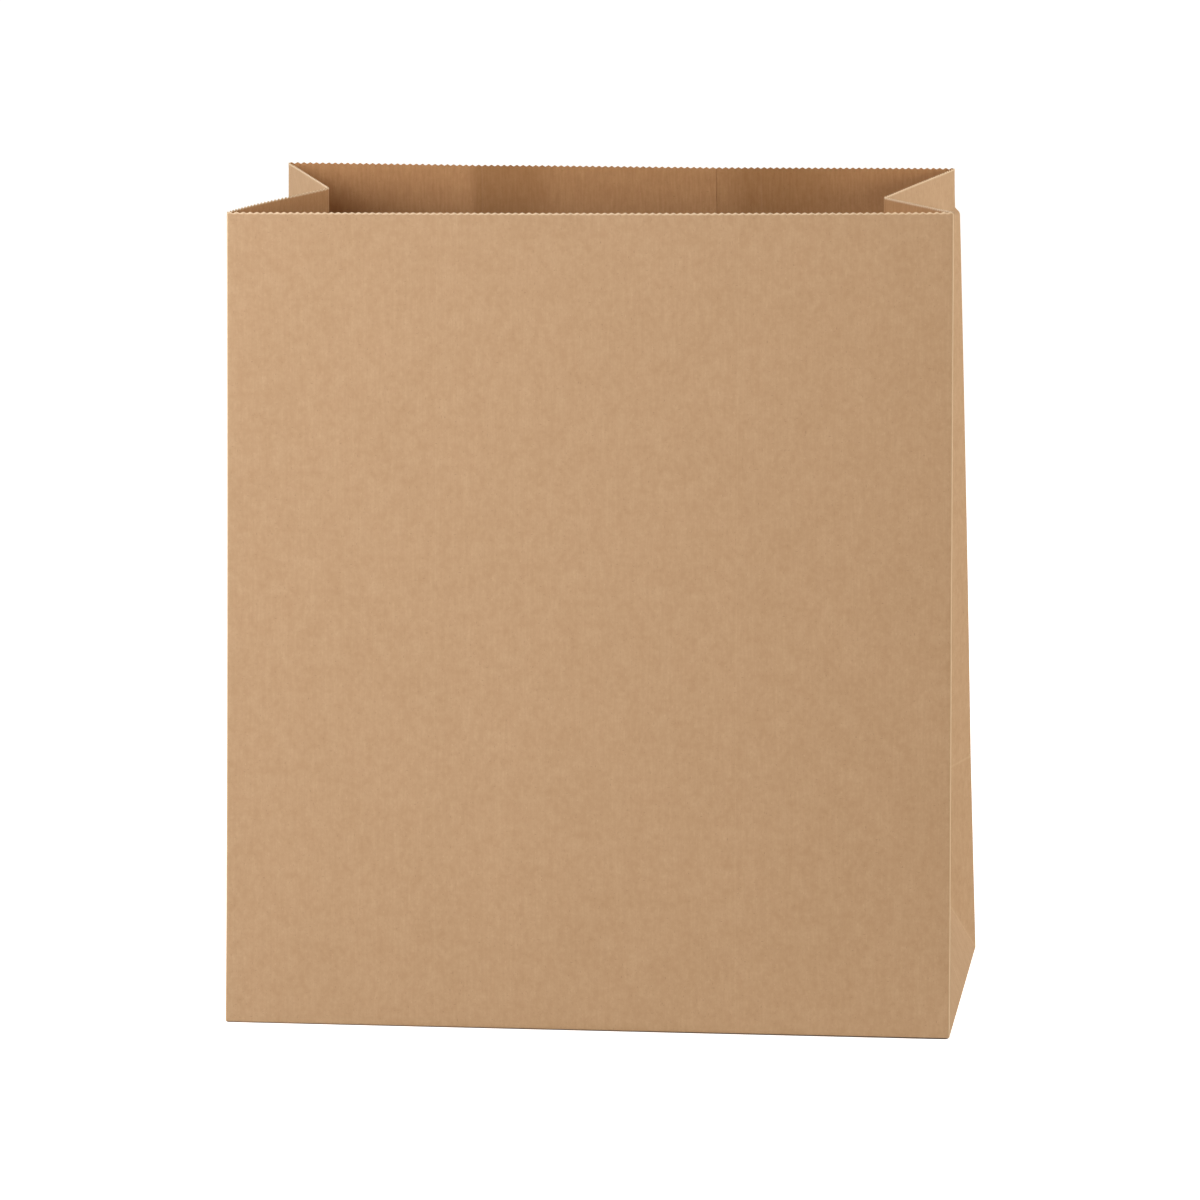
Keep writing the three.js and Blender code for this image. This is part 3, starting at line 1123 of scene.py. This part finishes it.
@dataclass(frozen=True)
class Studio:
    """A pale floor, soft light from all round, and the camera. Lengths are in metres unless said."""

    floor_half: float = 14.0
    floor_colour: str = "#f4f3f1"
    floor_roughness: float = 0.9
    contact_shade: Pair = (0.5, 2.2)  # in mm from the foot, where it starts to fade and ends
    shaded_foot: Triple = (-0.7, 153.0, 87.5)  # in mm, its middle, half width and half depth
    hidden_rim: float = 3.0  # how far in mm the floor reaches in under the bag
    shade_colour: str = "#5a4e45"
    room_tint: str = "#fff4e7"
    table_light: float = 0.72
    horizon_light: float = 0.19
    zenith_light: float = 0.21
    horizon_band: float = 0.35  # sine of the height where the horizon's light ends
    eye: Triple = (0.3228, -2.6889, 0.6204)  # from the middle of the bag's base
    yaw: float = math.radians(6.933)
    pitch: float = math.radians(9.429)
    roll: float = math.radians(-0.218)
    lens: float = 189.79  # in mm, as is the sensor
    sensor: float = 36.0
    far: float = 100.0
    lights_aim: float = 0.17  # height of the point that all the lights face
    softboxes: tuple[Softbox, ...] = (
        Softbox("key_softbox", (-0.7, -0.75, 0.75), (0.5, 0.7), 5.9, "#e8eeff"),
        Softbox("left_softbox", (-1.3, -0.6, 0.7), (0.7, 0.9), 9.6, "#f9fcff"),
        Softbox("front_softbox", (0.9, -2.4, 0.45), (0.8, 0.4), 16.4, "#fffbf4"),
        Softbox("right_softbox", (1.5, 0.3, 1.1), (0.9, 0.9), 7.8, "#fffbf2"),
        Softbox("back_softbox", (1.4, 0.9, 0.6), (1.0, 1.0), 11.7),
    )

    def build(self, origin: Vector) -> None:
        """Adds the floor, the lights, the world and the camera.

        Args:
            origin: The middle of the bag's base in the frame.
        """
        self.build_floor(origin)
        for box in self.softboxes:
            box.build(origin + Vector((0, 0, self.lights_aim)))
        self.build_world()
        bpy.context.scene.view_settings.view_transform = "Standard"
        self.build_camera(origin)

    def build_world(self) -> None:
        """Adds the studio's soft light from all round, with its own strength at each height."""
        world = bpy.data.worlds.new("studio")
        world.use_nodes = True
        tree = world.node_tree
        direction = add_node(tree, "ShaderNodeTexCoord").outputs["Generated"]
        height = add_node(tree, "ShaderNodeSeparateXYZ", Vector=direction).outputs["Z"]
        band, horizon = self.horizon_band, self.horizon_light
        below = {"From_Min": -band, "From_Max": 0.0, "To_Min": self.table_light, "To_Max": horizon}
        lower = add_node(tree, MAP_RANGE, SMOOTH_STEP, Value=height, **below)
        above = {"From_Max": band, "To_Min": lower, "To_Max": self.zenith_light}
        strength = add_node(tree, MAP_RANGE, SMOOTH_STEP, Value=height, **above)
        background = tree.nodes["Background"]
        background.inputs["Color"].default_value = linear(self.room_tint)
        tree.links.new(strength.outputs[0], background.inputs["Strength"])
        bpy.context.scene.world = world

    def build_floor(self, origin: Vector) -> None:
        """Adds the floor, a lit white table, with a painted contact shadow where the bag all but
        touches it.

        It is open under the bag, so that the base can be seen from below. The world's lower half
        stands for the light that the bag gets from the table.

        Args:
            origin: The middle of the bag's base in the frame.
        """
        material = bpy.data.materials.new("lit_white_table")
        material.use_nodes = True
        tree = material.node_tree
        shader = tree.nodes["Principled BSDF"]
        shader.inputs["Roughness"].default_value = self.floor_roughness
        place = add_node(tree, "ShaderNodeTexCoord").outputs["Object"]
        foot_middle, half_width, half_depth = self.shaded_foot
        middle = origin + Vector((foot_middle * MM, 0, 0))
        half = (half_width * MM, half_depth * MM, 1.0)
        centred = add_node(tree, VECTOR_MATH, SUBTRACT, i0=place, i1=tuple(middle))
        apart = add_node(tree, VECTOR_MATH, {"operation": "ABSOLUTE"}, i0=centred)
        past = add_node(tree, VECTOR_MATH, SUBTRACT, i0=apart, i1=half)
        outside = add_node(tree, VECTOR_MATH, {"operation": "MAXIMUM"}, i0=past)
        away = add_node(tree, VECTOR_MATH, {"operation": "LENGTH"}, i0=outside).outputs["Value"]
        near, clear = (distance * MM for distance in self.contact_shade)
        # Painted contact shadow: near the foot the colour and the glow go dark, past it the table is
        # evenly bright.
        lit = add_node(tree, MAP_RANGE, SMOOTH_STEP, Value=away, From_Min=near, From_Max=clear)
        tints = {"i6": linear(self.shade_colour), "i7": linear(self.floor_colour)}
        colour = add_node(tree, MIX, COLOURS, i0=lit, **tints)
        tree.links.new(colour.outputs[2], shader.inputs["Base Color"])
        tree.links.new(colour.outputs[2], shader.inputs["Emission Color"])
        tree.links.new(lit.outputs[0], shader.inputs["Emission Strength"])
        turns = ((-1, -1), (1, -1), (1, 1), (-1, 1))
        wide, deep = (half_width - self.hidden_rim) * MM, (half_depth - self.hidden_rim) * MM
        corners = [(x * self.floor_half, y * self.floor_half, 0.0) for x, y in turns]
        corners += [(middle.x + x * wide, middle.y + y * deep, 0.0) for x, y in turns]
        faces = [(i, (i + 1) % 4, (i + 1) % 4 + 4, i + 4) for i in range(4)]
        mesh = bpy.data.meshes.new("floor")
        mesh.from_pydata(corners, [], faces)
        mesh.materials.append(material)
        floor = bpy.data.objects.new("floor", mesh)
        floor.visible_diffuse = floor.visible_glossy = floor.visible_shadow = False
        bpy.context.scene.collection.objects.link(floor)

    def build_camera(self, origin: Vector) -> None:
        """Adds the camera, which looks down a little from in front and slightly to the right.

        Args:
            origin: The middle of the bag's base in the frame.
        """
        camera = bpy.data.cameras.new("camera")
        camera.lens, camera.sensor_width = self.lens, self.sensor
        camera.clip_end = self.far
        seen = bpy.data.objects.new("camera", camera)
        forward = Vector((-math.sin(self.yaw), math.cos(self.yaw), 0)) * math.cos(self.pitch)
        forward.z = -math.sin(self.pitch)
        level = Vector((math.cos(self.yaw), math.sin(self.yaw), 0))
        upright = level.cross(forward)
        right = level * math.cos(self.roll) + upright * math.sin(self.roll)
        top = upright * math.cos(self.roll) - level * math.sin(self.roll)
        turn = Matrix((right, top, -forward)).transposed().to_4x4()
        seen.matrix_world = Matrix.Translation(origin + Vector(self.eye)) @ turn
        bpy.context.scene.collection.objects.link(seen)
        bpy.context.scene.camera = seen


def base_middle(sizes: BagSizes) -> Vector:
    """Finds the middle of the bag's base in the frame, from the CAD node's box.

    Args:
        sizes: The sizes of the sheet.

    Returns:
        The middle of the base, on the middle surface of its lowest layer.
    """
    low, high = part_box(CAD_NODE)
    half_layer = sizes.paper / 2 * MM
    return Vector(((low.x + high.x) / 2, low.y + half_layer + sizes.half_side * MM, low.z + half_layer))


def main() -> None:
    """Builds the bag and the studio, in order."""
    logging.basicConfig(level=logging.INFO, format="%(name)s: %(message)s")
    sheet = PaperSheet()
    sizes = sheet.folds.sizes
    origin = base_middle(sizes)
    Studio().build(origin)
    bag = sheet.build(origin)
    PaperTree(sizes).apply(bag, KraftPaper().build())
    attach(bag, "root")
    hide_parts(CAD_NODE)
    LOG.info("folded bag: %d faces", len(bag.data.polygons))


if __name__ == "__main__":
    main()
